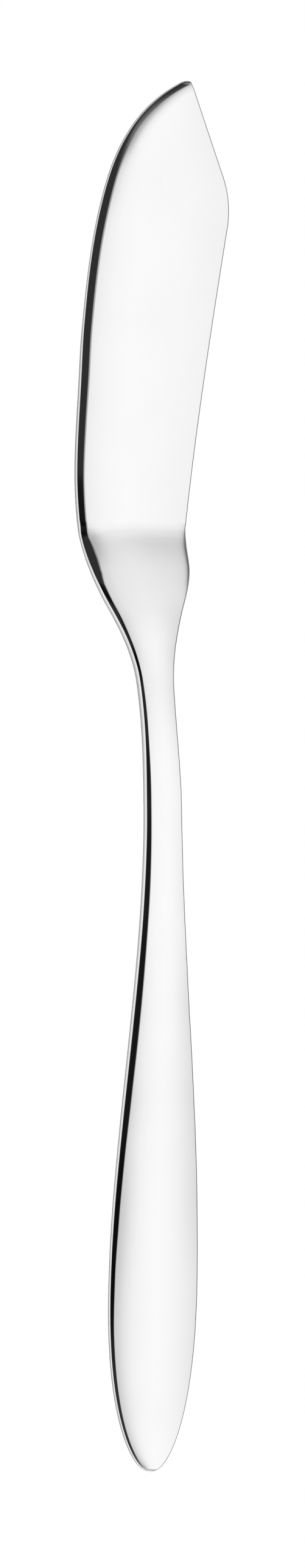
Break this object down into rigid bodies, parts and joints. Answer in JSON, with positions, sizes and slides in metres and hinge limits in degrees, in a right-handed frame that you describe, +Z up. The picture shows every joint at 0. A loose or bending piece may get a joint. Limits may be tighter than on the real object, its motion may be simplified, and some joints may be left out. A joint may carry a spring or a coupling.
{
  "type": "fish knife",
  "caption": "Polished steel fish knife with a broad blunt blade, a slanted point, a flared neck with a small lobe, and a slim arched handle that widens to an oval end.",
  "frame": {"origin": "on the table, under the middle of the knife's bounding box", "axes": "+Y along the knife from the end of the handle to the point, +X to the side of the cutting edge, +Z up from the table"},
  "size_m": [0.0266, 0.21, 0.0055],
  "materials": {
    "polished_steel": "mirror-polished stainless steel",
    "silver_solder": "polished silver solder"
  },
  "bodies": {
    "root": {"blade": "polished_steel", "handle": "polished_steel", "braze_seam": "silver_solder"}
  },
  "joints": []
}
